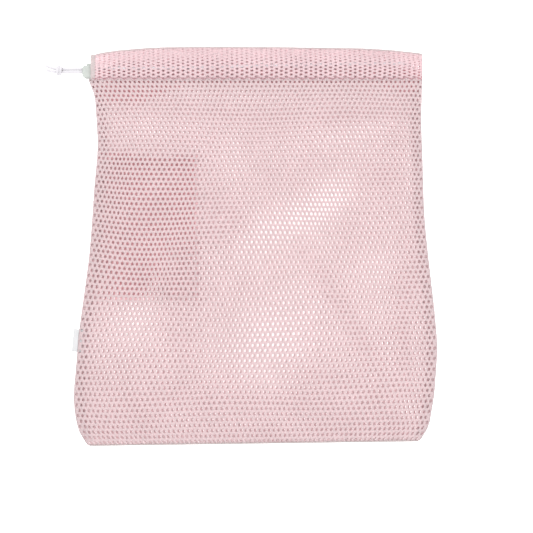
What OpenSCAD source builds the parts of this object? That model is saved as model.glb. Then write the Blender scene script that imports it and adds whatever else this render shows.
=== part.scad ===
// Mesh laundry bag with a drawstring casing, an inner pocket and a sprung cord lock.
// The bag lies flat on its back panel, a little lofted, with its mouth towards +Y.
// X runs across the bag and Z points up. The origin is under the middle of the bag.

/* [Fabric] */
// Thickness of the mesh fabric
fabric_t = 0.6; // [0.4:0.1:0.7]
// Width of the seam allowance turned into the bag
seam_w = 10.5; // [8:0.5:13]

/* [Casing] */
// Clear height of the channel that the drawstring runs in
channel_h = 4.4; // [4.2:0.1:5]
// Gap between the front and the back casing at the mouth
mouth_gap = 5; // [4.5:0.1:6]
// Width of the hem at each open end of the casing strip
hem_w = 5; // [4:0.5:7]

/* [Bag] */
// Height of the hollow at the middle of the bag
bag_loft = 10.2; // [10:0.1:10.8]
// Width of the stretch over which a side rises from its seam
side_rise_w = 45; // [40:1:50]

/* [Pocket] */
// Depth of the pocket between the front panel and the pocket panel
pocket_gap = 4.9; // [4.6:0.1:5]
// Depth of the pocket's top hem
pocket_hem_w = 10; // [6:1:12]

/* [Cord and lock] */
// Diameter of the drawstring
cord_d = 3.5; // [3:0.1:3.6]
// Thickness of the lock's flattened round body
lock_t = 10.5; // [10.4:0.1:10.6]
// Travel of the lock's button
button_travel = 2.4; // [2:0.1:2.4]
// Wire diameter of the lock's spring
spring_wire = 0.4; // [0.3:0.05:0.4]

/* [Hidden] */
$fn = 48;

// Colours of the mesh, the thread, the cord and the lock
mesh_colour = [0.94, 0.80, 0.82];
dark_mesh_colour = [0.88, 0.70, 0.73];
thread_colour = [0.86, 0.66, 0.70];
cord_colour = [0.97, 0.96, 0.98];
lock_colour = [0.86, 0.91, 0.87, 0.8];

// Edges of the bag, each point as [y, x] from the bottom corner up to the casing
left_edge = [
    [-238.5, -200], [-220, -210.5], [-200, -215], [-178, -216.5], [-140, -213.5],
    [-100, -210], [-60, -204.5], [-20, -199], [20, -195.5], [70, -192], [120, -188],
    [160, -190], [180, -191.8], [190, -193.8], [199, -198.5]
];
right_edge = [
    [-233, 198], [-222, 206], [-205, 210.5], [-180, 215], [-150, 217.5], [-120, 219],
    [-80, 216], [-40, 211.5], [0, 207], [40, 203.5], [100, 201.5], [150, 200], [199, 201]
];
// Top edge of the casing, each point as [x, y]
top_edge = [
    [-195, 228.3], [-181, 231.6], [-162, 234.2], [-128, 237.2], [-90, 238.3], [-10, 238.5],
    [60, 237.8], [130, 236.5], [160, 234.5], [180, 232.5], [201, 230]
];

// The seam between the body of the bag and its casing
casing_y = 199;
casing_left = -195;
casing_right = 201;
// Where the front and back strips meet the piece that turns round the right side
casing_split = 150;
// The inner walls of the casing stop short of its ends, which leaves room for the lock at the
// left and for the cord to turn at the right
inner_wall_left = -168;
inner_wall_right = 172;
casing_seam_w = 1.2;

// Heights of the casing's layers, from the table up
back_inner_z = fabric_t + channel_h;
front_inner_z = back_inner_z + fabric_t + mouth_gap;
casing_h = front_inner_z + 2 * fabric_t + channel_h;
tube_h = channel_h + 2 * fabric_t;
back_cord_z = fabric_t + channel_h / 2;
front_cord_z = casing_h - back_cord_z;

// The front panel is higher where it is sewn to the casing, and steeper at the sides there
casing_loft = front_inner_z + tube_h / 2 - 1.5 * fabric_t;
loft_change_y = 110;
steep_rise_w = 8;

// Pocket outline
pocket_right = -68;
pocket_bottom = -63;
pocket_top = 110;
pocket_from_seam = 18;
pocket_margin = 4;
pocket_slope_w = 12;
least_gap = 0.4;
// Columns of the pocket's sheets, as shares of its width from the left
pocket_columns = [0, 0.12, 0.25, 0.4, 0.6, 0.75, 0.84, 0.9, 0.95, 1];

// Thread radius, and the small gap that keeps threads clear of the cloth they lie on
thread_r = 0.3;
thread_lift = 0.02;

// Cord and lock places
cord_y = 211;
cord_z = 6;
strand_gap = 3.6;
lock_x = -197;
knot_right = -229.5;
knot_length = 8.5;
knot_left = knot_right - knot_length;

// Routes of the drawstring, each point as [x, y, z]
front_y = cord_y + strand_gap / 2;
back_y = cord_y - strand_gap / 2;
front_lead = [
    [-195, front_y, 6], [-187, front_y, 6], [-184, front_y, 6.6], [-180, front_y, 8.6],
    [-176, front_y, 11], [-172, front_y, 12.9], [-168, front_y, front_cord_z],
    [-162, front_y, front_cord_z]
];
back_lead = [
    [-195, back_y, 6], [-187, back_y, 6], [-184, back_y, 5.6], [-180, back_y, 4.8],
    [-176, back_y, 3.8], [-172, back_y, 3], [-168, back_y, back_cord_z],
    [-162, back_y, back_cord_z]
];
turn_x = 180;
turn_y = 7.4;
front_tail = [
    [knot_left, 213.2, 5.8], [knot_left - 0.6, 213.2, 5.8], [-241, 213.7, 5], [-245, 215, 3.6],
    [-251, 217.5, 2.3]
];
back_tail = [
    [knot_left, 209.2, 5.8], [knot_left - 0.6, 209.2, 5.8], [-241, 209.6, 4.8],
    [-245.5, 210.6, 3], [-250, 212, 2.1]
];

// --- Functions ---

// Slope of a point list at point i, taken from its neighbours
function slope_at(p, i) =
    let (a = max(i - 1, 0), b = min(i + 1, len(p) - 1))
    (p[b][1] - p[a][1]) / (p[b][0] - p[a][0]);

// Smooth curve through points given as [s, value], read at s
function along(p, s) =
    let (
        inside = min(max(s, p[0][0]), p[len(p) - 1][0]),
        i = max([for (k = [0 : len(p) - 2]) if (p[k][0] <= inside) k]),
        w = p[i + 1][0] - p[i][0],
        t = (inside - p[i][0]) / w
    )
    (2 * pow(t, 3) - 3 * pow(t, 2) + 1) * p[i][1]
    + (pow(t, 3) - 2 * pow(t, 2) + t) * w * slope_at(p, i)
    + (3 * pow(t, 2) - 2 * pow(t, 3)) * p[i + 1][1]
    + (pow(t, 3) - pow(t, 2)) * w * slope_at(p, i + 1);

function smooth(t) = let (c = min(max(t, 0), 1)) c * c * (3 - 2 * c);
function mix(a, b, t) = a + (b - a) * t;
function steps(a, b, n) = [for (i = [0 : n]) mix(a, b, i / n)];

function left_x(y) = along(left_edge, y);
function right_x(y) = along(right_edge, y);
function top_y(x) = along(top_edge, x);
function bottom_y(x) =
    let (t = (x - left_edge[0][1]) / (right_edge[0][1] - left_edge[0][1]))
    mix(left_edge[0][0], right_edge[0][0], min(max(t, 0), 1));

// Rise of the cloth from 0 at a seam to 1 at the distance w inside it
function rise(d, w) = d >= w ? 1 : 1 - pow(1 - max(d, 0) / w, 2);

// Height of the front panel's inner face
function front_under(x, y) =
    let (
        near_casing = smooth((y - loft_change_y) / (casing_y - loft_change_y)),
        loft = mix(bag_loft, casing_loft, near_casing),
        w = mix(side_rise_w, steep_rise_w, near_casing),
        d = min(x - left_x(y), right_x(y) - x)
    )
    fabric_t + loft * rise(d, w) * rise(y - bottom_y(x), side_rise_w);

// Height of the pocket panel's upper face, sewn to the front panel at its right and bottom
function pocket_over(x, y) =
    let (
        from_right = smooth((pocket_right - pocket_margin - x) / pocket_slope_w),
        from_bottom = smooth((y - pocket_bottom - pocket_margin) / pocket_slope_w)
    )
    front_under(x, y) - mix(least_gap, pocket_gap, from_right * from_bottom);

// Ring of points round a centre, square to a direction
function ring(centre, direction, r, sides) =
    let (
        d = direction / norm(direction),
        side = cross(d, abs(d[2]) < 0.8 ? [0, 0, 1] : [0, 1, 0]),
        u = side / norm(side),
        v = cross(d, u)
    )
    [for (k = [0 : sides - 1]) centre + r * (cos(360 * k / sides) * u + sin(360 * k / sides) * v)];

// Direction of a route at point i
function heading(p, i) = p[min(i + 1, len(p) - 1)] - p[max(i - 1, 0)];

// --- Shared shapes ---

// Round tube swept along a route
module tube(route, r, sides = 8) {
    n = len(route);
    points = [for (i = [0 : n - 1]) each ring(route[i], heading(route, i), r, sides)];
    walls = [
        for (i = [0 : n - 2], k = [0 : sides - 1])
            let (a = i * sides + k, b = i * sides + (k + 1) % sides)
            [a, b, b + sides, a + sides]
    ];
    first = [[for (k = [sides - 1 : -1 : 0]) k]];
    last = [[for (k = [0 : sides - 1]) (n - 1) * sides + k]];
    polyhedron(points, concat(walls, first, last), convexity = 10);
}

// Cloth sheet between a lower grid of points and the same grid raised by its thickness
module sheet(grid, t) {
    rows = len(grid);
    cols = len(grid[0]);
    n = rows * cols;
    low = [for (row = grid) each row];
    points = concat(low, [for (p = low) p + [0, 0, t]]);
    cells = [for (i = [0 : rows - 2], j = [0 : cols - 2]) i * cols + j];
    under = [for (a = cells) each [[a, a + cols, a + 1], [a + 1, a + cols, a + cols + 1]]];
    over = [for (f = under) [f[2] + n, f[1] + n, f[0] + n]];
    rim = concat(
        [for (j = [0 : cols - 1]) j],
        [for (i = [1 : rows - 1]) i * cols + cols - 1],
        [for (j = [cols - 2 : -1 : 0]) (rows - 1) * cols + j],
        [for (i = [rows - 2 : -1 : 1]) i * cols]
    );
    sides = [
        for (k = [0 : len(rim) - 1])
            let (a = rim[k], b = rim[(k + 1) % len(rim)])
            each [[a, b, b + n], [a, b + n, a + n]]
    ];
    polyhedron(points, concat(under, over, sides), convexity = 10);
}

// Strip of seam allowance that follows one side edge; sign is 1 on the left and -1 on the right
module side_strip(edge, sign, from_seam, w) {
    ys = steps(-205, 195, 20);
    inner = [for (y = ys) [along(edge, y) + sign * (from_seam + w), y]];
    outer = [for (i = [len(ys) - 1 : -1 : 0]) [along(edge, ys[i]) + sign * from_seam, ys[i]]];
    translate([0, 0, fabric_t]) linear_extrude(1.5 * fabric_t) polygon(concat(inner, outer));
}

// Plan of the casing between two places on X, with its seam, sides and top moved in by margins
module casing_plan(x0, x1, seam_margin = 0, top_margin = 0) {
    xs = steps(x0, x1, 16);
    polygon(concat(
        [[x1, casing_y + seam_margin], [x0, casing_y + seam_margin]],
        [for (x = xs) [x, top_y(x) - top_margin]]
    ));
}

// Slab of the casing's plan between two heights
module casing_slab(x0, x1, z0, z1, seam_margin = 0, top_margin = 0) {
    translate([0, 0, z0]) linear_extrude(z1 - z0) casing_plan(x0, x1, seam_margin, top_margin);
}

// One side of the folded casing strip: a flat tube whose inner wall starts at inner_z
module casing_tube(z0, inner_z) {
    from = casing_left + hem_w;
    difference() {
        casing_slab(from, casing_split, z0, z0 + tube_h);
        casing_slab(from - 1, casing_split + 1, z0 + fabric_t, z0 + fabric_t + channel_h,
            casing_seam_w, fabric_t);
        // The inner wall is cut back at the open end, where the cord comes out
        casing_slab(from - 1, inner_wall_left, inner_z - 0.01, inner_z + fabric_t + 0.01,
            casing_seam_w, fabric_t);
    }
}

// Hem at the open end of the strip: its outer wall, fold and seam, with no inner wall
module casing_hem(z0, z1, hollow_z0, hollow_z1) {
    difference() {
        casing_slab(casing_left, casing_left + hem_w, z0, z1);
        casing_slab(casing_left - 1, casing_left + hem_w + 1, hollow_z0, hollow_z1,
            casing_seam_w, fabric_t);
    }
}

// --- Body of the bag: one cloth folded at the bottom, held as its back and its front ---

module back_panel() {
    ys = steps(0, 1, 24);
    left = [for (t = ys) let (y = mix(left_edge[0][0], casing_y, t)) [left_x(y), y]];
    right = [for (t = ys) let (y = mix(casing_y, right_edge[0][0], t)) [right_x(y), y]];
    color(mesh_colour) linear_extrude(fabric_t) polygon(concat(left, right));
}

module front_panel() {
    across = [0, 0.01, 0.03, 0.06, 0.1, 0.2, 0.35, 0.5, 0.65, 0.8, 0.9, 0.94, 0.97, 0.99, 1];
    up = [
        0, 0.01, 0.03, 0.06, 0.1, 0.15, 0.2, 0.25, 0.3, 0.36, 0.43, 0.5, 0.58, 0.66, 0.74, 0.8,
        0.86, 0.92, 0.96, 1
    ];
    grid = [
        for (v = up) [
            for (u = across)
                let (
                    base = mix(left_edge[0][1], right_edge[0][1], u),
                    y = mix(bottom_y(base), casing_y, v),
                    x = mix(left_x(y), right_x(y), u)
                )
                [x, y, front_under(x, y)]
        ]
    ];
    color(mesh_colour) sheet(grid, fabric_t);
}

module side_seam_left() {
    color(dark_mesh_colour) side_strip(left_edge, 1, 3.5, seam_w);
}

module side_seam_right() {
    color(dark_mesh_colour) side_strip(right_edge, -1, 3.5, seam_w);
}

module side_stitch_left() {
    z = 2.5 * fabric_t + thread_r + thread_lift;
    color(thread_colour)
        tube([for (y = steps(-200, 192, 28)) [left_x(y) + 9, y, z]], thread_r);
}

module side_stitch_right() {
    z = 2.5 * fabric_t + thread_r + thread_lift;
    color(thread_colour)
        tube([for (y = steps(-200, 192, 28)) [right_x(y) - 9, y, z]], thread_r);
}

// --- Casing round the mouth ---

module casing_front() {
    color(dark_mesh_colour) casing_tube(front_inner_z, front_inner_z);
}

module casing_back() {
    color(dark_mesh_colour) casing_tube(0, back_inner_z);
}

// The strip turns round the right side of the mouth, from the front to the back
module casing_end() {
    wall = casing_right - fabric_t;
    color(dark_mesh_colour) difference() {
        casing_slab(casing_split, casing_right, 0, casing_h);
        // The mouth, which ends at the turned inner wall
        casing_slab(casing_split - 1, inner_wall_right - fabric_t, back_inner_z + fabric_t,
            front_inner_z, -1, -1);
        // The channel on each side, and the hollow that joins them
        casing_slab(casing_split - 1, wall, fabric_t, back_inner_z, casing_seam_w, fabric_t);
        casing_slab(casing_split - 1, wall, front_inner_z + fabric_t, casing_h - fabric_t,
            casing_seam_w, fabric_t);
        casing_slab(inner_wall_right, wall, fabric_t, casing_h - fabric_t, casing_seam_w,
            fabric_t);
    }
}

module casing_hem_front() {
    color(mesh_colour)
        casing_hem(front_inner_z, casing_h + fabric_t, front_inner_z - 1, casing_h - fabric_t);
}

module casing_hem_back() {
    color(mesh_colour) casing_hem(0, tube_h, fabric_t, tube_h + 1);
}

module casing_stitch_front() {
    z = casing_h + thread_r + thread_lift;
    color(thread_colour)
        tube([for (x = steps(casing_left + hem_w + 1, casing_right - 2, 12))
            [x, casing_y + 2, z]], thread_r);
}

module casing_stitch_back() {
    z = back_inner_z + fabric_t + thread_r + thread_lift;
    color(thread_colour)
        tube([for (x = steps(inner_wall_left + 3, inner_wall_right - 3, 12))
            [x, casing_y + 2, z]], thread_r);
}

// --- Inner pocket ---

// Sheet that follows the pocket at some depth below its upper face
module pocket_sheet(ys, columns, depth) {
    grid = [
        for (y = ys) [
            for (u = columns)
                let (x = mix(left_x(y) + pocket_from_seam, pocket_right, u))
                [x, y, pocket_over(x, y) - depth]
        ]
    ];
    color(dark_mesh_colour) sheet(grid, fabric_t);
}

module pocket_panel() {
    up = [0, 0.025, 0.05, 0.075, 0.1, 0.25, 0.5, 0.75, 1];
    pocket_sheet([for (v = up) mix(pocket_bottom, pocket_top, v)], pocket_columns, fabric_t);
}

// The hem lies under the panel's top edge, clear of the seams at its two sides
module pocket_hem() {
    inner_columns = [for (i = [1 : len(pocket_columns) - 2]) pocket_columns[i]];
    pocket_sheet(
        steps(pocket_top - pocket_hem_w, pocket_top, 2), inner_columns,
        2 * fabric_t + least_gap
    );
}

// The line of stitches that holds the pocket, on the outer face of the front panel
module pocket_stitch() {
    x1 = pocket_right - 2;
    y0 = pocket_bottom + 2;
    along_bottom = [for (x = steps(-178, x1 - 6, 10)) [x, y0]];
    corner = [[x1 - 2, y0 + 2]];
    along_side = [for (y = steps(y0 + 6, pocket_top, 8)) [x1, y]];
    lift = fabric_t + thread_r + least_gap;
    color(thread_colour)
        tube([
            for (p = concat(along_bottom, corner, along_side))
                [p[0], p[1], front_under(p[0], p[1]) + lift]
        ], thread_r);
}

// --- Label, a folded tab sewn into the left seam ---

module label() {
    reach = 6.7;
    clear = 0.75;
    h = 1;
    layer_t = 0.3;
    w = 27.5;
    mid_y = -112.5;
    tilt = atan((left_x(mid_y + w / 2) - left_x(mid_y - w / 2)) / w);
    color("white")
        translate([left_x(mid_y), mid_y, h / 2]) rotate([0, 0, -tilt]) translate([0, w / 2, 0])
            rotate([90, 0, 0]) linear_extrude(w) difference() {
                union() {
                    translate([h / 2 - reach, 0]) circle(d = h);
                    translate([h / 2 - reach, -h / 2]) square([reach - h / 2 - clear, h]);
                }
                translate([h / 2 - reach, layer_t - h / 2]) square([reach, h - 2 * layer_t]);
            }
}

// --- Drawstring ---

// The cord inside the casing: along the front, round the right side and back
module drawstring() {
    turn_mid_z = casing_h / 2;
    turn_h = front_cord_z - turn_mid_z;
    front_run = [for (x = steps(-156, turn_x - 12, 30))
        [x, mix(front_y, cord_y + turn_y, smooth((x + 150) / 320)), front_cord_z]];
    turn = [for (a = steps(0, 180, 8))
        [turn_x + 9 * sin(a), cord_y + turn_y * cos(a), turn_mid_z + turn_h * cos(a)]];
    back_run = [for (x = steps(turn_x - 12, -156, 30))
        [x, mix(back_y, cord_y - turn_y, smooth((x + 150) / 320)), back_cord_z]];
    back_way = [for (i = [len(back_lead) - 1 : -1 : 0]) back_lead[i]];
    color(cord_colour) tube(concat(front_lead, front_run, turn, back_run, back_way), cord_d / 2);
}

// A free strand runs straight from the casing, through the lock, to the knot
module free_strand(y) {
    color(cord_colour)
        translate([knot_right, y, cord_z]) rotate([0, 90, 0])
            cylinder(d = cord_d, h = casing_left - knot_right);
}

module strand_front() { free_strand(front_y); }

module strand_back() { free_strand(back_y); }

module tail_front() { color(cord_colour) tube(front_tail, cord_d / 2); }

module tail_back() { color(cord_colour) tube(back_tail, cord_d / 2); }

// The overhand knot, as the barrel-shaped solid that holds it
module knot() {
    knot_r = 5.8;
    face_r = 4.4;
    color(cord_colour)
        translate([knot_left, cord_y, cord_z]) rotate([0, 90, 0]) rotate_extrude()
            polygon([[0, 0], [face_r, 0], [knot_r, 2.2], [knot_r, knot_length - 2.2],
                [face_r, knot_length], [0, knot_length]]);
}

// --- Cord lock; its axis runs along Y ---

// Slot for the two strands, along X, between two heights on the lock's axis
module cord_slot(y0, y1, half_h, reach) {
    translate([-reach, 0, 0]) rotate([90, 0, 90]) linear_extrude(2 * reach) {
        translate([y0, -half_h]) square([y1 - y0, 2 * half_h]);
    }
}

// Turns a shape made along Z so that it stands along Y at the lock
module at_lock() {
    translate([lock_x, cord_y, cord_z]) children();
}

barrel_bottom = -10;
barrel_top = 5.6;
// Nearly round outline of the barrel, each point as [y, half width]
barrel_outline = [
    [barrel_bottom, 5], [-9.4, 6.4], [-8, 7.8], [-6, 8.7], [-3, 9],
    [2, 9], [4.2, 8.4], [5.2, 7.6], [barrel_top, 6.8]
];
bore_r = 4.2;
plunger_r = 4.13;
plunger_bottom = -5;
button_top = 8.4;
slot_half = strand_gap / 2 + cord_d / 2 + 0.3;
slot_half_h = cord_d / 2 + 0.35;
floor_t = 1.1;

// Layer of the barrel, moved in from its outline
module barrel_layer(inset, half_h) {
    last = len(barrel_outline) - 1;
    right = [for (p = barrel_outline) [p[1], p[0]]];
    left = [for (i = [last : -1 : 0]) [-barrel_outline[i][1], barrel_outline[i][0]]];
    linear_extrude(2 * half_h, center = true) offset(delta = -inset) polygon(concat(right, left));
}

module lock_barrel() {
    color(lock_colour) at_lock() difference() {
        hull() {
            barrel_layer(0, 0.27 * lock_t);
            barrel_layer(0.5, 0.41 * lock_t);
            barrel_layer(1.5, lock_t / 2);
        }
        translate([0, barrel_bottom + floor_t, 0]) rotate([-90, 0, 0])
            cylinder(r = bore_r, h = barrel_top - barrel_bottom);
        cord_slot(-slot_half, slot_half, slot_half_h, 10);
    }
}

module lock_button() {
    color(lock_colour) at_lock() difference() {
        rotate([-90, 0, 0]) rotate_extrude()
            polygon([
                [0, plunger_bottom], [plunger_r, plunger_bottom], [plunger_r, 6.9], [3.8, 7.7],
                [2.9, 8.2], [1.5, button_top], [0, button_top]
            ]);
        cord_slot(-slot_half, slot_half + button_travel, slot_half_h, 8);
    }
}

// Compression spring between the floor of the barrel and the foot of the button
module lock_spring() {
    coil_r = 2.7;
    turns = 3;
    y0 = barrel_bottom + floor_t + spring_wire / 2 + 0.05;
    y1 = plunger_bottom - spring_wire / 2 - 0.05;
    color("silver") at_lock()
        tube([
            for (i = [0 : turns * 14])
                let (a = 360 * i / 14, t = i / (turns * 14))
                [coil_r * cos(a), mix(y0, y1, t), coil_r * sin(a)]
        ], spring_wire / 2, 8);
}

back_panel();
front_panel();
side_seam_left();
side_seam_right();
side_stitch_left();
side_stitch_right();
casing_front();
casing_back();
casing_end();
casing_hem_front();
casing_hem_back();
casing_stitch_front();
casing_stitch_back();
pocket_panel();
pocket_hem();
pocket_stitch();
label();
drawstring();
strand_front();
strand_back();
tail_front();
tail_back();
knot();
lock_barrel();
lock_button();
lock_spring();
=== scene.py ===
"""Looks of a mesh laundry bag that lies flat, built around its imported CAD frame."""

import math

import bpy
import numpy as np
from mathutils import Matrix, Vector


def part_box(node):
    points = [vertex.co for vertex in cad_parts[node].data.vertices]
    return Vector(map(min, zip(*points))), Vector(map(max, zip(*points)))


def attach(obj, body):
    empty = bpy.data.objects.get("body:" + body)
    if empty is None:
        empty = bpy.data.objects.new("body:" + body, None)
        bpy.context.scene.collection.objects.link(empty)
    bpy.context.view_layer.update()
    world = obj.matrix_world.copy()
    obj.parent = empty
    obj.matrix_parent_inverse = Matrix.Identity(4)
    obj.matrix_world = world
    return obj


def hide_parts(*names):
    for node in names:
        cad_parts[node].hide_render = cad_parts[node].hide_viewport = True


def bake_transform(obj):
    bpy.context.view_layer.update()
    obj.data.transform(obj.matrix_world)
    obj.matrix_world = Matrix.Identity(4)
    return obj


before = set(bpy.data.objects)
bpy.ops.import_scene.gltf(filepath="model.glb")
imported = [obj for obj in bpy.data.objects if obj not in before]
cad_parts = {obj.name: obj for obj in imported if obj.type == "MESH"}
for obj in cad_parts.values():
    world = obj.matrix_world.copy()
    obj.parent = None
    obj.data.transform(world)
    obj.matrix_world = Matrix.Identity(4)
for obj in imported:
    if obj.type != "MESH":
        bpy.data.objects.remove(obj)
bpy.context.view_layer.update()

SCENE = bpy.context.scene

# Lengths are in metres, unless a comment says millimetres
MM = 0.001


def gather(piece, slot, *nodes):
    """The piece is the bag's cloth or thread: it stands for those CAD nodes, which are hidden, and its
    transform is baked.
    """
    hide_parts(*nodes)
    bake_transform(piece)


# --- Camera, straight above the bag ---

# Width and centre of what the camera sees at a height just above the table
VIEW_WIDTH = 0.6396
VIEW_CENTRE = (0.0144, -0.0237)
VIEW_HEIGHT = 0.002

camera_data = bpy.data.cameras.new("camera")
camera_data.lens = 100
camera_data.sensor_width = 36
camera = bpy.data.objects.new("camera", camera_data)
distance = VIEW_WIDTH * camera_data.lens / camera_data.sensor_width
camera.location = (*VIEW_CENTRE, VIEW_HEIGHT + distance)
SCENE.collection.objects.link(camera)
SCENE.camera = camera


# --- Shape helpers ---


def smooth(t):
    """From 0 at t = 0 to 1 at t = 1, level at both ends and beyond them."""
    t = np.clip(t, 0, 1)
    return t * t * (3 - 2 * t)


def mix(a, b, t):
    """From a at t = 0 to b at t = 1."""
    return a + (b - a) * t


def rise(d, width):
    """Rise of the cloth from 0 at a seam to 1 at the width inside it."""
    return 1 - (1 - np.clip(d / width, 0, 1)) ** 2


def smooth_curve(at, values):
    """Smooth curve through points, as a function of an array."""
    order = np.argsort(at)
    at, values = np.array(at)[order], np.array(values)[order]
    slopes = np.gradient(values, at)

    def read(q):
        q = np.clip(q, at[0], at[-1])
        i = np.clip(np.searchsorted(at, q) - 1, 0, len(at) - 2)
        w = at[i + 1] - at[i]
        t = (q - at[i]) / w
        return (
            (2 * t**3 - 3 * t**2 + 1) * values[i]
            + (t**3 - 2 * t**2 + t) * w * slopes[i]
            + (3 * t**2 - 2 * t**3) * values[i + 1]
            + (t**3 - t**2) * w * slopes[i + 1]
        )

    return read


def shaded(name, points, faces, material):
    """Smooth-shaded object from points and faces; a corner repeated in a face is dropped."""
    clean = []
    for face in faces:
        corners = [c for k, c in enumerate(face) if c != face[k - 1]]
        if len(corners) > 2:
            clean.append(corners)
    mesh = bpy.data.meshes.new(name)
    mesh.from_pydata(points.tolist(), [], clean)
    mesh.polygons.foreach_set("use_smooth", [True] * len(mesh.polygons))
    mesh.materials.append(material)
    made = bpy.data.objects.new(name, mesh)
    SCENE.collection.objects.link(made)
    return made


def along_casing(x):
    """From 0 by the casing's open end to 1 by its closed side."""
    return smooth((x + 150 * MM) / (320 * MM))


def points_of(x, y, z):
    """Rows of points from their coordinates."""
    return np.stack([x, y, z], axis=-1)


def along_path(points, spacing):
    """Points at an even spacing on a smooth curve through the given ones."""
    points = np.array(points, float)
    for _ in range(2):
        steps = np.linalg.norm(np.diff(points, axis=0), axis=1)
        way = np.concatenate([[0], np.cumsum(steps)])
        count = max(2, round(way[-1] / spacing)) + 1
        at = np.linspace(0, way[-1], count)
        points = np.stack([smooth_curve(way, points[:, k])(at) for k in range(3)], axis=1)
    return points


def frames(points):
    """Two directions square to a path at each point, carried along it without twist."""
    heading = np.gradient(points, axis=0)
    heading /= np.linalg.norm(heading, axis=1)[:, None]
    side = np.cross(heading[0], (0.0, 0.0, 1.0))
    if np.linalg.norm(side) < 0.1:
        side = np.cross(heading[0], (0.0, 1.0, 0.0))
    sides = []
    for h in heading:
        side = side - h * (side @ h)
        side = side / np.linalg.norm(side)
        sides.append(side)
    sides = np.array(sides)
    return sides, np.cross(heading, sides)


def ring_points(path, radii):
    """Rings of points round a path. radii has a row for each of its points and a column for each side."""
    us, vs = frames(path)
    sides = radii.shape[1]
    angle = np.arange(sides) * 2 * np.pi / sides
    cos, sin = np.cos(angle)[None, :, None], np.sin(angle)[None, :, None]
    rings = path[:, None] + radii[..., None] * (cos * us[:, None] + sin * vs[:, None])
    return rings.reshape(-1, 3)


def ring_faces(count, sides, first=0):
    """Walls between rings, and a cap at each end. first is the index of their first point."""
    index = first + np.arange(count * sides).reshape(count, sides)
    turned = np.roll(index, -1, axis=1)
    walls = np.stack([index[:-1], turned[:-1], turned[1:], index[1:]], axis=-1).reshape(-1, 4)
    return walls.tolist() + [index[0, ::-1].tolist(), index[-1].tolist()]


# Length of cord in which its braid goes once round, in radii of the cord
BRAID_LAY = 8
# Share of an end's rounding that is left off, so that the tube closes in a small flat
END_FLAT = 0.15


def tube(name, points, radius, material, sides=8, strands=0, relief=0.0):
    """Closed tube along points, with rounded ends. With strands, its surface is braided to that relief."""
    way = np.concatenate([[0], np.cumsum(np.linalg.norm(np.diff(points, axis=0), axis=1))])
    radii = np.full((len(points), sides), radius)
    if strands:
        angle = np.arange(sides)[None, :] * 2 * np.pi / sides
        lay = 2 * np.pi * way[:, None] / (BRAID_LAY * radius)
        one = np.sin(strands / 2 * (angle + lay))
        two = np.sin(strands / 2 * (angle - lay))
        radii = radius * (1 - relief + relief * np.maximum(np.abs(one), np.abs(two)))
    from_end = np.minimum(way, way[-1] - way)[:, None] / radius
    radii = radii * np.sqrt(rise(from_end + END_FLAT, 1))
    return shaded(name, ring_points(points, radii), ring_faces(len(points), sides), material)


# Points along one stitch, and sides round its thread
STITCH_RINGS = 5
STITCH_SIDES = 5
STITCH_ARCH = 0.25 * MM
# Share of the arch by which a stitch's two ends are sunk in the cloth
STITCH_SUNK = 0.3


def stitches(name, line, pitch, share, radius, material):
    """Row of separate stitches along a line, each an arched bit of thread. share is how much of the pitch
    a stitch takes up."""
    line = along_path(line, pitch)
    radii = np.full((STITCH_RINGS, STITCH_SIDES), radius)
    t = np.linspace(0, 1, STITCH_RINGS)
    points, faces = [], []
    for a, b in zip(line[:-1], line[1:]):
        bow = a + (b - a) * share * t[:, None]
        bow[:, 2] += STITCH_ARCH * (np.sin(np.pi * t) - STITCH_SUNK)
        faces += ring_faces(STITCH_RINGS, STITCH_SIDES, len(points) * radii.size)
        points.append(ring_points(bow, radii))
    return shaded(name, np.concatenate(points), faces, material)


# --- Node helpers ---


def new_material(name):
    """A material with an empty node tree and its output node."""
    material = bpy.data.materials.new(name)
    material.use_nodes = True
    material.node_tree.nodes.clear()
    return material, material.node_tree.nodes.new("ShaderNodeOutputMaterial")


def add(material, kind, **inputs):
    """A new node of that kind. Each input is a value, or a socket to link to."""
    tree = material.node_tree
    node = tree.nodes.new("ShaderNode" + kind)
    for key, value in inputs.items():
        socket = node.inputs[key.replace("_", " ")]
        if isinstance(value, bpy.types.NodeSocket):
            tree.links.new(value, socket)
        else:
            socket.default_value = value
    return node


def link(material, source, target):
    """Link an output socket to an input socket."""
    material.node_tree.links.new(source, target)


def object_noise(material, scale, detail=2.0):
    """Noise in the object's own coordinates; scale is its features per metre."""
    place = add(material, "TexCoord").outputs["Object"]
    return add(material, "TexNoise", Vector=place, Scale=scale, Detail=detail).outputs["Fac"]


def ramp(material, factor, stops):
    """Colour ramp with stops given as (position, colour)."""
    node = add(material, "ValToRGB", Fac=factor)
    elements = node.color_ramp.elements
    while len(elements) < len(stops):
        elements.new(0.5)
    for element, (position, colour) in zip(elements, stops):
        element.position = position
        element.color = (*colour, 1)
    return node.outputs["Color"]


def grey(value):
    """A colour without hue."""
    return (value, value, value)


# --- Materials ---


def principled(material, colour, rough, height, strength, distance, **inputs):
    """Principled shader with a bump from a height. Gives its shader socket and its bump's normal."""
    bump = add(material, "Bump", Height=height, Strength=strength, Distance=distance).outputs[0]
    shader = add(material, "BsdfPrincipled", Base_Color=colour, Roughness=rough, Normal=bump, **inputs)
    return shader.outputs[0], bump


# Light that has come through yarn is deeper in colour than light that bounces off it
THROUGH_GAMMA = 1.15
# Features per metre: patches of tone in the cloth, loops of its yarn, and plies of its sewing thread
TONE_PATCHES = 22
KNIT_LOOPS = 700
THREAD_PLIES = 1600
# How much the patches count in the tone, beside the yarn's own fibres
PATCH_SHARE = 0.45


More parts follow.
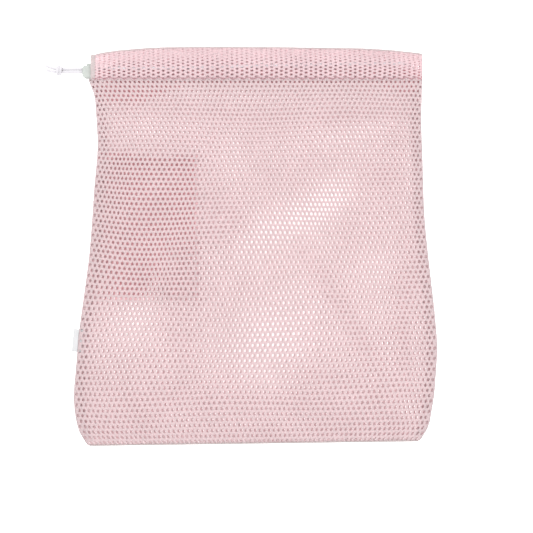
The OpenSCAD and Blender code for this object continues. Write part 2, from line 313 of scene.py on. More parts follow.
def yarn(name, light, dark, knit=KNIT_LOOPS, through=0.5):
    """Knitted polyester: two tones of the yarn, fine loops as bump, and light let through."""
    material, output = new_material(name)
    patches = object_noise(material, TONE_PATCHES, 3)
    fibres = object_noise(material, knit, 4)
    tone = add(material, "Math")
    tone.operation = "MULTIPLY_ADD"
    tone.inputs[1].default_value = PATCH_SHARE
    link(material, patches, tone.inputs[0])
    link(material, fibres, tone.inputs[2])
    colour = ramp(material, tone.outputs[0], [(0.45, dark), (0.9, light)])
    rough = ramp(material, fibres, [(0.3, grey(0.5)), (0.7, grey(0.72))])
    body, normal = principled(material, colour, rough, fibres, 0.5, 0.15 * MM,
                              Sheen_Weight=0.15, Specular_IOR_Level=0.45)
    through_colour = add(material, "Gamma", Color=colour, Gamma=THROUGH_GAMMA)
    glow = add(material, "BsdfTranslucent", Color=through_colour.outputs[0], Normal=normal)
    both = add(material, "MixShader", Fac=through)
    link(material, body, both.inputs[1])
    link(material, glow.outputs[0], both.inputs[2])
    link(material, both.outputs[0], output.inputs[0])
    return material


MESH = yarn("mesh_yarn", (0.815, 0.70, 0.712), (0.755, 0.63, 0.642))
CASING = yarn("casing_yarn", (0.885, 0.74, 0.762), (0.825, 0.665, 0.69))
# Deeper pink copy of the mesh yarn, for the pocket and the edges turned inside, which lie under other
# cloth: the deeper pink is painted shade
PAINTED_SHADE_YARN = yarn("painted_shade_yarn", (0.93, 0.68, 0.705), (0.87, 0.60, 0.63))
HEM = yarn("hem_yarn", (0.70, 0.62, 0.617), (0.64, 0.56, 0.56), through=0.4)
# Grey copy of the yarn for the side seams' edges and the bottom fold: its grey is painted shade along the
# bag's outer edges
SHADED_EDGE_YARN = yarn("painted_shade_edge_yarn", (0.58, 0.52, 0.512), (0.52, 0.455, 0.45), through=0.3)
# Dark pink thread for the casing's seams: partly the seam's own thread, partly painted shadow under the
# casing's scalloped edge
SEAM_SHADOW_THREAD = yarn("seam_thread", (0.62, 0.33, 0.375), (0.52, 0.26, 0.305), THREAD_PLIES, through=0.25)
PALE_THREAD = yarn("pale_thread", (0.82, 0.67, 0.685), (0.74, 0.59, 0.61), THREAD_PLIES, through=0.4)


def satin(name):
    """Woven satin tape, white, with fine lengthwise threads."""
    material, output = new_material(name)
    place = add(material, "TexCoord").outputs["Object"]
    wave = add(material, "TexWave", Vector=place, Scale=900.0, Distortion=0.6)
    wave.bands_direction = "Y"
    threads = wave.outputs["Fac"]
    colour = ramp(material, threads, [(0, (0.50, 0.50, 0.51)), (1, (0.57, 0.57, 0.58))])
    rough = ramp(material, object_noise(material, 300), [(0.3, grey(0.32)), (0.7, grey(0.45))])
    body, _ = principled(material, colour, rough, threads, 0.4, 0.05 * MM, Sheen_Weight=0.2)
    link(material, body, output.inputs[0])
    return material


def marked(name, features, detail, stops, colours, rough, bump, rough_features=None, **inputs):
    """Material with fine marks, so many features per metre, which set its colour and bump. Its roughness
    follows the same marks, or others where rough_features says so."""
    material, output = new_material(name)
    marks = object_noise(material, features, detail)
    colour = ramp(material, marks, list(zip(stops, colours)))
    rough_marks = object_noise(material, rough_features, detail) if rough_features else marks
    roughness = ramp(material, rough_marks, [(0.3, grey(rough[0])), (0.7, grey(rough[1]))])
    body, _ = principled(material, colour, roughness, marks, *bump, **inputs)
    link(material, body, output.inputs[0])
    return material


SATIN = satin("label_satin")
# Fine white polyester braid with a breath of lilac
CORD = marked("cord_braid", features=1500, detail=4, stops=(0.35, 0.65),
              colours=((0.53, 0.515, 0.545), (0.60, 0.58, 0.61)), rough=(0.45, 0.62),
              bump=(0.35, 0.08 * MM), Sheen_Weight=0.25)
# Moulded plastic that lets light through, pale green, with faint flow marks
PLASTIC = marked("lock_plastic_frosted", features=260, detail=3, stops=(0.3, 0.7),
                 colours=((0.46, 0.49, 0.465), (0.53, 0.56, 0.53)), rough=(0.38, 0.52),
                 bump=(0.15, 0.1 * MM), rough_features=900,
                 Transmission_Weight=0.15, IOR=1.49, Specular_IOR_Level=0.35)
# Drawn steel wire with fine marks along it
STEEL = marked("spring_wire_steel", features=2500, detail=3, stops=(0.3, 0.7),
               colours=(grey(0.42), grey(0.6)), rough=(0.22, 0.38), bump=(0.2, 0.02 * MM),
               Metallic=1.0)


# --- Drawstring: its cord, knot and lock. Places and sizes of the cord are in millimetres. ---

CORD_D = 3.5
CORD_Z = 6.0
FRONT_Y = 212.8
BACK_Y = 209.2

# Places across the bag where the cord goes from the casing's open end into a channel
LEAD_X = (-195, -187, -184, -180, -176, -172, -168, -162)
FRONT_LEAD_Z = (6, 6, 6.6, 8.6, 11, 12.9, 13.4, 13.4)
BACK_LEAD_Z = (6, 6, 5.6, 4.8, 3.8, 3, 2.8, 2.8)

# The cord runs along the channels to the closed side, where it turns round from the front to the back
RUN_X = (-156, 168)
TURN_X = 180
TURN_REACH = 9
FRONT_TURN_Y = 218.4
BACK_TURN_Y = 203.6

# Middle of the knot, and half its length, width and height
KNOT = (-233.9, 211.0, 6.0)
KNOT_HALF = (2.8, 4.6, 3.95)
KNOT_TURNS = 2.6
KNOT_FIRST_ANGLE = -130

front_tail = [
    (-238, 213.2, 5.8), (-238.6, 213.2, 5.8), (-241, 213.7, 5), (-245, 215, 3.6), (-251, 217.5, 2.3),
]
back_tail = [
    (-238, 209.2, 5.8), (-238.6, 209.2, 5.8), (-241, 209.6, 4.8), (-245.5, 210.6, 3), (-250, 212, 2.1),
]


def casing_run(y, turn_y, lead_z):
    """Points of the cord from the casing's open end along one of its two channels."""
    lead = [(x, y, z) for x, z in zip(LEAD_X, lead_z)]
    across = np.linspace(*RUN_X, 31)
    return lead + [(x, mix(y, turn_y, along_casing(x * MM)), lead_z[-1]) for x in across]


def casing_turn():
    """Points of the cord where it turns round from the front's channel to the back's."""
    points = []
    for angle in np.radians(np.arange(15, 180, 15)):
        share = (1 - math.cos(angle)) / 2
        points.append((
            TURN_X + TURN_REACH * math.sin(angle),
            mix(FRONT_TURN_Y, BACK_TURN_Y, share),
            mix(FRONT_LEAD_Z[-1], BACK_LEAD_Z[-1], share),
        ))
    return points


def cord_tube(name, points, spacing=0.45):
    """Braided cord through points. Gives the piece and the path that it follows."""
    path = along_path(np.array(points) * MM, spacing * MM)
    made = tube(name, path, CORD_D / 2 * MM, CORD, sides=24, strands=12, relief=0.07)
    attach(made, "drawstring")
    return made, path


def free_strand(name, y, tail, nodes):
    """One end of the cord: out of the casing, through the lock and the knot, to its sealed end."""
    end_y = tail[0][1]
    straight = [(x, y, CORD_Z) for x in (LEAD_X[0], -200, -215, -228)]
    strand, path = cord_tube(name, straight + [(-233, (y + end_y) / 2, CORD_Z)] + tail)
    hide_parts(*nodes)


def knot_turns():
    """Turns of the overhand knot that wrap round both strands, with their ends tucked in."""
    points = []
    for t in np.linspace(0, 1, 60):
        angle = math.radians(KNOT_FIRST_ANGLE + 360 * KNOT_TURNS * t)
        tuck = mix(0.35, 1, smooth(t / 0.16) * smooth((1 - t) / 0.16))
        points.append((
            KNOT[0] + KNOT_HALF[0] * math.cos(math.pi * t),
            KNOT[1] + KNOT_HALF[1] * tuck * math.cos(angle),
            KNOT[2] + KNOT_HALF[2] * tuck * math.sin(angle),
        ))
    turns, _ = cord_tube("knot_turns", points)
    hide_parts("knot")


SPRING_TURNS = 3
SPRING_STEPS = 24
SPRING_WIRE_R = 0.2 * MM


def lock_spring():
    """The spring between the barrel's floor and the button's foot."""
    low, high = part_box("lock_spring")
    middle_x, middle_z = (low.x + high.x) / 2, (low.z + high.z) / 2
    coil_r = (high.x - low.x) / 2 - SPRING_WIRE_R
    way = np.linspace(0, 1, SPRING_TURNS * SPRING_STEPS + 1)
    angle = 2 * np.pi * SPRING_TURNS * way
    y = mix(low.y + SPRING_WIRE_R, high.y - SPRING_WIRE_R, way)
    coil = points_of(middle_x + coil_r * np.cos(angle), y, middle_z + coil_r * np.sin(angle))
    spring = tube("lock_spring_coil", coil, SPRING_WIRE_R, STEEL)
    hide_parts("lock_spring")
    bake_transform(spring)


lock_spring()
knot_turns()
free_strand("cord_end_front", FRONT_Y, front_tail, ("strand_front", "tail_front"))
free_strand("cord_end_back", BACK_Y, back_tail, ("strand_back", "tail_back"))
front_run = casing_run(FRONT_Y, FRONT_TURN_Y, FRONT_LEAD_Z)
back_run = casing_run(BACK_Y, BACK_TURN_Y, BACK_LEAD_Z)
inner_cord, _ = cord_tube("cord_in_casing", front_run + casing_turn() + back_run[::-1], 1.0)
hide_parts("drawstring")

for node in ("lock_barrel", "lock_button"):
    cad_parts[node].data.materials.clear()
    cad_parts[node].data.materials.append(PLASTIC)


# --- Outline of the bag, read from the frame ---


def cad_points(*nodes):
    """Corner points of CAD nodes, one row each."""
    rows = []
    for node in nodes:
        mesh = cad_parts[node].data
        flat = np.zeros(len(mesh.vertices) * 3, np.float32)
        mesh.vertices.foreach_get("co", flat)
        rows.append(flat.reshape(-1, 3).astype(float))
    return np.concatenate(rows)


def edge_curve(points, along, value, pick):
    """Smooth curve of the outermost values, picked by min or max, at each place along an axis."""
    found = {}
    for p in points:
        key = round(p[along], 4)
        found[key] = pick(found.get(key, p[value]), p[value])
    return smooth_curve(list(found), list(found.values()))


panel = cad_points("back_panel")
left_x = edge_curve(panel[panel[:, 0] < 0], 1, 0, min)
right_x = edge_curve(panel[panel[:, 0] > 0], 1, 0, max)
BOTTOM_LEFT_Y = panel[panel[:, 0] < 0][:, 1].min()
BOTTOM_RIGHT_Y = panel[panel[:, 0] > 0][:, 1].min()
CASING_Y = panel[:, 1].max()
CLOTH_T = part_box("back_panel")[1].z

# The casing's outline runs along the part of it that lies flat, to the corner where it turns round
CASING_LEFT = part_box("casing_hem_front")[0].x
CASING_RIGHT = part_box("casing_end")[1].x
TOUCHING = 0.1 * MM
TURNED_W = 8 * MM
casing = cad_points("casing_hem_back", "casing_back", "casing_end")
lies_flat = (casing[:, 2] < TOUCHING) & (casing[:, 0] < CASING_RIGHT - TURNED_W)
in_corner = casing[:, 0] > CASING_RIGHT - TOUCHING
top_y = edge_curve(casing[lies_flat | in_corner], 0, 1, max)

# Middle heights of the casing's outer and inner walls on the front side, and of the whole casing
OUTER_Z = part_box("casing_front")[1].z - 0.7 * CLOTH_T
INNER_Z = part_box("casing_front")[0].z + CLOTH_T / 2
MIDDLE_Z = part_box("casing_end")[1].z / 2

# Ends of the casing's inner wall, a little past its seam
INNER_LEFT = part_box("casing_stitch_back")[0].x - 3 * MM
INNER_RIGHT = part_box("casing_stitch_back")[1].x + 3 * MM


# --- Cloth as closed solids: a knitted net with hexagonal holes, and a plain strip ---

CORNERS = [(0.5, 1 / 3), (0.0, 2 / 3), (-0.5, 1 / 3), (-0.5, -1 / 3), (0.0, -2 / 3), (0.5, -1 / 3)]

# How far cells differ, in their holes' size, their yarn's thickness and, as a share of a cell, their place
SIZE_SPREAD = 0.05
THICKNESS_SPREAD = 0.08
PLACE_SPREAD = 0.02
# Thickness of a plain strip at its rim, as a share of the rest
STRIP_RIM = 0.45


def net(name, place, columns, rows, material, hole=0.51, depth=(0.36 * MM, 0.14 * MM),
        seed=1, straight_sides=True, keep=None, openness=None):
    """A net of columns x rows cells. place(u, v) gives the points of the cloth's middle surface, where u
    counts cells along a row and v counts rows. hole is the hole's size as a share of a cell, and depth is
    half the cloth's thickness midway between holes and at a hole's rim. straight_sides fills the half cells
    at the ends of odd rows. keep(u, v) says whether the net has the cell with that centre, and
    openness(u, v) how far its hole is open."""
    rng = np.random.default_rng(seed)
    first, last = rows
    cells, fills = [], []
    for j in range(first, last):
        odd = j % 2
        centres = [(i + 0.5 + odd / 2, j) for i in range(columns - odd)]
        cells += [centre for centre in centres if keep is None or keep(*centre)]
        if odd and straight_sides:
            fills += [(0.0, j), (float(columns), j)]
    cells, fills = np.array(cells), np.array(fills).reshape(-1, 2)
    corners = np.array(CORNERS)

    def ring(centres, offsets):
        return centres[:, None, :] + offsets[None, :, :]

    outer = ring(cells, corners)
    filled = ring(fills, corners)
    both = np.concatenate([outer, filled]).reshape(-1, 2)
    both[:, 0] = np.clip(both[:, 0], 0, columns)
    keys = np.rint(both * (2, 3)).astype(int)
    unique, index = np.unique(keys, axis=0, return_inverse=True)
    index = index.reshape(-1, 6)
    shared = unique / (2, 3)
    outer_index, filled_index = index[: len(cells)], index[len(cells):]

    size = hole * (1 + rng.uniform(-SIZE_SPREAD, SIZE_SPREAD, (len(cells), 1, 2)))
    if openness is not None:
        size = size * openness(cells[:, 0], cells[:, 1])[:, None, None]
    moved = rng.uniform(-PLACE_SPREAD, PLACE_SPREAD, (len(cells), 1, 2))
    rim = cells[:, None, :] + moved + corners * size
    rim_index = len(shared) + np.arange(len(cells) * 6).reshape(-1, 6)
    uv = np.concatenate([shared, rim.reshape(-1, 2)])
    thick = np.concatenate([
        depth[0] * (1 + rng.uniform(-THICKNESS_SPREAD, THICKNESS_SPREAD, len(shared))),
        np.full(rim_index.size, depth[1]),
    ])

    turned = np.roll(outer_index, -1, axis=1)
    rim_turned = np.roll(rim_index, -1, axis=1)
    quads = np.stack([outer_index, turned, rim_turned, rim_index], axis=-1).reshape(-1, 4)
    halves = np.concatenate([filled_index[:, [0, 1, 2, 3]], filled_index[:, [0, 3, 4, 5]]])
    quads = np.concatenate([quads, halves])
    return sheet_mesh(name, place, uv, thick, quads, material)


def sheet_mesh(name, place, uv, thick, quads, material):
    """Closed solid of a flat sheet of quads in (u, v), placed in space and given its thickness."""
    n = len(uv)
    a, b = quads, np.roll(quads, -1, axis=1)
    a, b = a[a != b], b[quads != np.roll(quads, -1, axis=1)]
    open_edge = ~np.isin(a.astype(np.int64) * n + b, b.astype(np.int64) * n + a)
    a, b = a[open_edge], b[open_edge]
    walls = np.stack([a, a + n, b + n, b], axis=-1)

    # The direction square to the cloth comes from a small step each way
    step = 0.01
    middle = place(uv[:, 0], uv[:, 1])
    along_u = place(uv[:, 0] + step, uv[:, 1]) - place(uv[:, 0] - step, uv[:, 1])
    along_v = place(uv[:, 0], uv[:, 1] + step) - place(uv[:, 0], uv[:, 1] - step)
    normal = np.cross(along_u, along_v)
    normal /= np.linalg.norm(normal, axis=1)[:, None]
    points = np.concatenate([middle + normal * thick[:, None], middle - normal * thick[:, None]])
    faces = np.concatenate([quads, (quads + n)[:, ::-1], walls])
    return shaded(name, points, faces.tolist(), material)


def strip(name, place, u_range, v_range, half_t, material, cells):
    """Plain closed strip of cloth, over ranges of a place function's u and v. It thins out at its rim."""
    us = np.linspace(*u_range, cells[0] + 1)
    vs = np.linspace(*v_range, cells[1] + 1)
    uv = np.array([(u, v) for v in vs for u in us])
    wide = cells[0] + 1
    quads = np.array([
        (a, a + 1, a + wide + 1, a + wide)
        for j in range(cells[1]) for a in range(j * wide, j * wide + cells[0])
    ])
    rim = (uv[:, 1] == vs[0]) | (uv[:, 1] == vs[-1]) | (uv[:, 0] == us[0]) | (uv[:, 0] == us[-1])
    thick = np.where(rim, STRIP_RIM, 1) * half_t
    return sheet_mesh(name, place, uv, thick, quads, material)


# --- Body of the bag ---

COLUMNS = 73
ROWS = 73
# Heights of a row of holes, in millimetres
PITCH_AT_FOLD = 6.6
PITCH_AT_TOP = 5.35
# Middle radius of the cloth where it is folded
FOLD_R = 0.9 * MM
# How much longer the cloth's quarter turn is than that radius
FOLD_EXTRA = 0.57
# Cells at the start of a row that the lock takes up
LOCK_COLUMNS = 3.2

# Heights of the front: at the side seams, of its middle above them, and at the casing's seam
SEAM_Z = 2.5 * MM
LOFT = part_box("front_panel")[1].z - 6.0 * MM
TOP_Z = OUTER_Z - 2.2 * MM
# Widths over which it rises from the seams and the fold, and from the seams by the casing
RISE_W = 45 * MM
TOP_RISE_W = 8 * MM
# From this line up, it goes over to its height at the casing
NEAR_TOP_Y = 110 * MM
# Width over which the cloth's ripples die away towards the seams
RIPPLE_W = 60 * MM
# How far rows climb at the left seam, and how far in from it they start to
CLIMB = 5 * MM
CLIMB_W = 75 * MM
# Height of the back above the table where it lies flat, and how far its ripples lift it
BACK_Z = 0.45 * MM
BACK_LIFT = 0.8 * MM


def along_cloth(v):
    """Share of the way from the fold to the casing's seam at a row."""
    grown = PITCH_AT_FOLD * v - (PITCH_AT_FOLD - PITCH_AT_TOP) / (2 * ROWS) * v**2
    return grown / ((PITCH_AT_FOLD + PITCH_AT_TOP) / 2 * ROWS)


def waves(x, y, terms):
    """Sum of plane waves, each given as (size, length along X, length along Y, phase)."""
    total = 0
    for size, length_x, length_y, phase in terms:
        total = total + size * np.sin(2 * np.pi * (x / length_x + y / length_y) + phase)
    return total


# Waves in millimetres: along X and Y in the plane of the cloth, and up and down in its front and back
DRIFT_X = [(1.6, 230, 310, 0.4), (1.1, -140, 190, 2.0), (0.6, 90, -260, 4.1)]
DRIFT_Y = [(0.9, 300, 240, 1.3), (0.5, 190, -210, 3.0)]
FRONT_WAVES = [(0.55, 160, 120, 0.3), (0.4, -90, 140, 1.9), (0.25, 60, 85, 4.0), (0.2, 48, -70, 2.6)]
BACK_WAVES = [(0.6, 170, -130, 1.0), (0.4, 80, 110, 2.0)]

# The two panels' holes lie USUAL_SLIP apart, in millimetres. In some patches they are nearer (share above
# 0) or farther apart (below 0): X and Y of the centre, half length and half width in millimetres, tilt in
# degrees, and share of the usual slip
USUAL_SLIP = 2.2
SLIP_PATCHES = [
    (48, 34, 112, 24, 29, 0.6), (20, -112, 66, 48, 45, 0.55), (-146, -88, 34, 44, -20, 0.52),
    (110, 136, 80, 18, 12, 0.35), (138, -30, 45, 40, 0, 0.12), (-120, 142, 60, 20, 0, 0.3),
    (-28, 105, 16, 42, 0, 0.3), (150, 85, 26, 18, 0, -0.4), (-38, 28, 20, 32, 0, -0.35),
    (115, -95, 95, 13, -58, -0.38), (0, -206, 240, 30, 0, -0.6), (40, 172, 190, 18, -4, -0.4),
    (100, -160, 80, 10, -20, -0.25), (198, -115, 24, 110, 0, -0.9), (-90, -130, 16, 60, 0, -0.15),
    (-130, 24, 70, 95, 0, -0.3), (0, 186, 260, 20, 0, -0.3),
]


def slip(x, y):
    """How far apart the two panels' holes lie at a place. All in millimetres."""
    share = 1
    for at_x, at_y, length, width, tilt, nearer in SLIP_PATCHES:
        turn = math.radians(tilt)
        along = (x - at_x) * math.cos(turn) + (y - at_y) * math.sin(turn)
        across = (y - at_y) * math.cos(turn) - (x - at_x) * math.sin(turn)
        share = share - nearer * np.exp(-((along / length) ** 2) - (across / width) ** 2)
    return USUAL_SLIP * share


def side_distance(x, y):
    """Distance of a place in the bag from its nearer side seam."""
    return np.minimum(x - left_x(y), right_x(y) - x)


def drift(x, y, fold_y):
    """How far the cloth drifts out of line along X and along Y. By its seams and its fold it doesn't."""
    calm = smooth(side_distance(x, y) / (50 * MM))
    calm = calm * smooth((y - fold_y) / (60 * MM)) * smooth((CASING_Y - y) / (30 * MM))
    return [waves(x / MM, y / MM, terms) * MM * calm for terms in (DRIFT_X, DRIFT_Y)]


def back_step(x, y, fold_y):
    """How far the back's holes are moved along their rows. At the fold, the two panels' rows are half a
    cell out of step; away from it, the slip between them takes over."""
    loose = smooth((side_distance(x, y) - 5 * MM) / (14 * MM)) * smooth((y - fold_y) / (16 * MM))
    half_cell = (right_x(y) - left_x(y)) / COLUMNS / 2
    return (half_cell - slip(x / MM, y / MM) * MM + 0.006 * x) * loose


def climb(x, y):
    """How far rows climb towards the left seam, over the middle of the bag."""
    near_left = 1 - rise(x - left_x(y), CLIMB_W)
    return CLIMB * near_left * smooth((y / MM + 110) / 80) * smooth((150 - y / MM) / 60)


def front_z(x, y, fold_y):
    """Height of the front, which is lofted between its seams and climbs to the casing."""
    from_side = side_distance(x, y)
    near_top = smooth((y - NEAR_TOP_Y) / (CASING_Y - NEAR_TOP_Y))
    loft = mix(LOFT, TOP_Z - SEAM_Z, near_top)
    width = mix(RISE_W, TOP_RISE_W, near_top)
    inside = rise(from_side, width) * rise(y - fold_y, RISE_W)
    ripple = waves(x / MM, y / MM, FRONT_WAVES) * MM * rise(from_side, RIPPLE_W)
    return SEAM_Z + loft * inside + ripple * smooth((CASING_Y - y) / (25 * MM))


def back_z(x, y):
    """Height of the back, which lies on the table but for low ripples."""
    lift = 0.5 + 0.5 * waves(x / MM, y / MM, BACK_WAVES)
    return BACK_Z + BACK_LIFT * lift * rise(side_distance(x, y), RIPPLE_W)


def place_body(u, v):
    """The bag's cloth. Rows of holes from 1 up are the front panel's, the others the back panel's; the
    bottom fold runs midway between rows 0 and 1."""
    v = v - 0.5
    front = v >= 0
    across = u / COLUMNS
    fold_y = mix(BOTTOM_LEFT_Y, BOTTOM_RIGHT_Y, across)
    way = along_cloth(np.abs(v)) * (CASING_Y - fold_y + FOLD_EXTRA * FOLD_R)
    quarter = FOLD_R * np.pi / 2
    past_fold = np.maximum(way - quarter, 0)
    turn = np.clip(way / FOLD_R, 0, np.pi / 2)
    y = fold_y + FOLD_R * (1 - np.cos(turn)) + past_fold
    x = mix(left_x(y), right_x(y), across)

    dx, dy = drift(x, y, fold_y)
    dx = dx + np.where(front, 0, back_step(x, y, fold_y))
    x, y = x + dx, y + dy + climb(x, y)

    height = np.where(front, front_z(x, y, fold_y), back_z(x, y))
    fold_z = CLOTH_T / 2 + FOLD_R + np.where(front, 1, -1) * FOLD_R * np.sin(turn)
    near_fold = np.exp(-past_fold / (9 * MM))
    z = np.where(way < quarter, fold_z, mix(height, fold_z, near_fold))
    return points_of(x, y, z)


def has_body(u, v):
    """The lock sits in the left corner of the mouth, so the rows past the seam stop short of it."""
    return u > LOCK_COLUMNS or -ROWS < v <= ROWS


def front_openness(u, v):
    """Next to the casing's seam, the front's holes are drawn in a little."""
    return mix(1, 0.84, smooth((v - ROWS + 2.5) / 2))


front_net = net("front_net", place_body, COLUMNS, (1, ROWS + 2), MESH, seed=3, keep=has_body,
                openness=front_openness)
back_net = net("back_net", place_body, COLUMNS, (-ROWS, 1), MESH, seed=4, keep=has_body)
gather(front_net, "mesh", "front_panel")
gather(back_net, "mesh", "back_panel")


# --- Casing: one strip folded double, round the mouth ---

CASING_PITCH_X = 5.9 * MM
CASING_CELLS = 20
CASING_COLUMNS = 135
CASING_START = CASING_LEFT + 4.5 * MM
# Height of a row of cells at the fold, as a share of the usual
FOLD_CLOSING = 0.72
# Share of the casing's section that goes round its fold
FOLD_SHARE = 0.023
# Share of their distance by which the walls stay apart where they are pressed together
PRESSED_GAP = 0.15
# Share of the casing's depth that is kept open for the cord, by its open end and by its closed side
CORD_SHARE = (0.45, 0.62)
# How far, in cells, the inner wall's holes are moved from the outer wall's, by the fold and by the seam
INNER_STEP = (0.15, 0.5)
# How far, in cells, the holes on the back side are moved by the seam
BACK_STEP = 0.5


def casing_section(q, x, press):
    """Place on the casing's section at a share q of its way from the outer seam over the top to the inner:
    its Y, and its height on the front side. Above the cord, its two walls are pressed together."""
    wall = top_y(x) - CLOTH_T / 2 - FOLD_R - CASING_Y
    outer, inner = 0.5 - FOLD_SHARE / 2, 0.5 + FOLD_SHARE / 2
    angle = np.clip((q - outer) / (inner - outer), 0, 1) * np.pi
    share = np.where(q < outer, q / outer, np.clip((1 - q) / (1 - inner), -1, 1))
    y = CASING_Y + wall * share + FOLD_R * np.sin(angle)
    widest = (OUTER_Z - INNER_Z) / 2
    above_cord = mix(*CORD_SHARE, along_casing(x))
    pressed = mix(1, PRESSED_GAP, press * smooth((share - above_cord) / 0.28))
    # Half the distance between the walls, which close up at the seam and at the fold
    half = mix(FOLD_R, widest * pressed, smooth(share / 0.2))
    half = mix(half, FOLD_R, smooth((share - 0.9) / 0.1))
    middle = (OUTER_Z + INNER_Z) / 2
    z = middle + np.where(q < 0.5, 1, -1) * half
    turning = (q > outer) & (q < inner)
    z = np.where(turning, middle + FOLD_R * np.cos(angle), z)
    return y, z


def ripples(x, y):
    """Gathers in the casing's outer wall, in millimetres."""
    xm, ym = x / MM, y / MM
    bend = 3.0 * np.sin(2 * np.pi * xm / 74 + 0.6) + 1.6 * np.sin(2 * np.pi * xm / 31)
    along = 0.45 * np.sin(2 * np.pi * (ym - 0.10 * xm + bend) / 11.5)
    return along + 0.3 * np.sin(2 * np.pi * (xm / 47 + ym / 30))


def place_casing(u, v):
    """u counts cells over the fold, from the outer seam to the inner one; v counts columns from the front's
    open end, round the right side, to the back's."""
    share = v / CASING_COLUMNS
    # The inner wall's holes lie nearly over the outer wall's by the fold, and between them by the seam
    rows = u - CASING_CELLS / 2 - 0.5
    near_seam = smooth((2 * np.abs(rows) / CASING_CELLS - 0.4) / 0.3)
    moved = np.where(rows > 0, mix(*INNER_STEP, near_seam), 0)
    moved = moved + BACK_STEP * near_seam * smooth((share - 0.48) / 0.04)
    q = (rows + moved) / (CASING_CELLS + 0.5)
    # Rows close up towards the fold
    q = 0.5 + q * (FOLD_CLOSING + 2 * (1 - FOLD_CLOSING) * np.abs(q))
    end = mix(CASING_RIGHT - CLOTH_T / 2, INNER_RIGHT, smooth((q - 0.5) / 0.14))
    half = np.abs(share - 0.5) * 2
    guess = mix(end, CASING_START, half)
    # The lock is tucked into the open end, so the back side lies flat on the table there
    press = np.where(share < 0.5, 1, smooth((guess + 165 * MM) / (30 * MM)))
    y, z = casing_section(q, guess, press)
    # Only the outer wall is gathered, and less so at the back
    lift = ripples(guess, y) * MM * smooth((y - CASING_Y) / (8 * MM)) * (q < 0.5)
    lift = lift * np.where(share < 0.5, 1, 0.25)
    radius = z - MIDDLE_Z + lift
    straight = end - radius - CASING_START
    length = 2 * straight + np.pi * radius
    way = share * length
    angle = np.clip((way - straight) / radius, 0, np.pi)
    x = CASING_START + np.minimum(way, straight) + radius * np.sin(angle) - np.maximum(
        way - straight - np.pi * radius, 0)
    return points_of(x, y, MIDDLE_Z + radius * np.cos(angle))


def has_casing(u, v):
    """The inner wall is cut back at the strip's open ends, where the cord comes out."""
    cut_back = round((INNER_LEFT - CASING_START) / CASING_PITCH_X)
    over_fold = CASING_CELLS / 2 + 2
    return u < over_fold or cut_back <= v < CASING_COLUMNS - cut_back


def casing_openness(u, v):
    """Towards the fold, the strip's holes are drawn nearly shut."""
    from_fold = np.abs(2 * u / CASING_CELLS - 1)
    return mix(0.7, 1, smooth((from_fold - 0.3) / 0.35))


casing_net = net("casing_net", place_casing, CASING_CELLS, (0, CASING_COLUMNS), CASING, hole=0.48,
                 seed=5, straight_sides=False, keep=has_casing, openness=casing_openness)
gather(casing_net, "casing_mesh", "casing_front", "casing_back", "casing_end")


# Along its fold, the strip's cloth is pressed into a firm edge
FOLD_EDGE_R = 0.95 * MM
# At its open ends, the strip is hemmed: rows, columns past its end and over its net, and half thickness
HEM_ROWS = (0.1, CASING_CELLS / 2 + 1)
HEM_PAST_END = 0.8
HEM_OVER_NET = 0.12
HEM_HALF_T = 0.4 * MM


def casing_fold():
    """The firm edge along the casing's fold."""
    v = np.linspace(0.2, CASING_COLUMNS - 0.2, 260)
    line = place_casing(np.full_like(v, CASING_CELLS / 2 + 0.25), v)
    line[:, 1] -= 0.2 * MM
    piece = tube("casing_fold_edge", line, FOLD_EDGE_R, HEM)
    gather(piece, "casing_mesh", "casing_front", "casing_back", "casing_end")
    return piece


def hem(name, columns, node):
    """The hem at one open end of the strip, over a range of columns."""
    piece = strip(name, place_casing, HEM_ROWS, columns, HEM_HALF_T, HEM, (40, 6))
    gather(piece, "casing_mesh", node)
    return piece


fold_edge = casing_fold()
hem_front = hem("casing_hem_front_cloth", (-HEM_PAST_END, HEM_OVER_NET), "casing_hem_front")
hem_back = hem("casing_hem_back_cloth",
               (CASING_COLUMNS - HEM_OVER_NET, CASING_COLUMNS + HEM_PAST_END), "casing_hem_back")


# --- Cloth that is turned inside ---

TURNED_ROWS = 2
# Height of the back's turned edge at the seam and where it hangs
TURNED_DOWN_Z = (3.4 * MM, 2.2 * MM)


def place_turned_up(u, v):
    """The front's top edge, turned up inside the casing. v counts rows past the seam."""
    y = CASING_Y + (v + 0.6) * PITCH_AT_TOP * MM
    x = mix(CASING_LEFT + 1.5 * MM, CASING_RIGHT - 1.6 * MM, u / COLUMNS)
    inside_casing = smooth((y - CASING_Y) / (7 * MM))
    z = mix(TOP_Z - 0.2 * MM, INNER_Z + 1.3 * MM, inside_casing)
    return points_of(x, y, z)


def place_turned_down(u, v):
    """The back's top edge, turned down inside the bag. v counts rows below the seam, under the front's
    own holes."""
    points = place_body(u, ROWS - v)
    points[:, 2] = mix(*TURNED_DOWN_Z, smooth(v / 2))
    return points


def has_turned_down(u, v):
    """The edge is cut crooked: four rows hang down at the left, one along the middle, two at the right."""
    lowest = mix(1, 4.4, smooth((20 - u) / 12)) + 1.4 * smooth((u - COLUMNS + 9) / 6)
    return v < lowest and (u > LOCK_COLUMNS or v > 0)


# The turned edges take the deeper pink yarn, which is painted shade
turned_front = net("turned_edge_front", place_turned_up, COLUMNS, (0, TURNED_ROWS), PAINTED_SHADE_YARN, seed=6)
turned_back = net("turned_edge_back", place_turned_down, COLUMNS, (-1, 5), PAINTED_SHADE_YARN, seed=7,
                  straight_sides=False, keep=has_turned_down)
gather(turned_front, "mesh")
gather(turned_back, "mesh")


# --- Side seams and bottom fold ---

ALLOWANCE_CELLS = 4
ALLOWANCE_ROWS = (2, ROWS + 1)
# Heights of the allowance's lower and upper layer
ALLOWANCE_Z = (1.25 * MM, 1.9 * MM)
# Radius and height of the side seams' firm edges, and of the bottom fold's
SEAM_EDGE_R = 0.85 * MM
SEAM_EDGE_Z = 1.5 * MM
BOTTOM_EDGE_R = 1.05 * MM
BOTTOM_EDGE_Z = 1.35 * MM
# How far in from the bag's corners these edges start
CORNER_W = 1.5 * MM


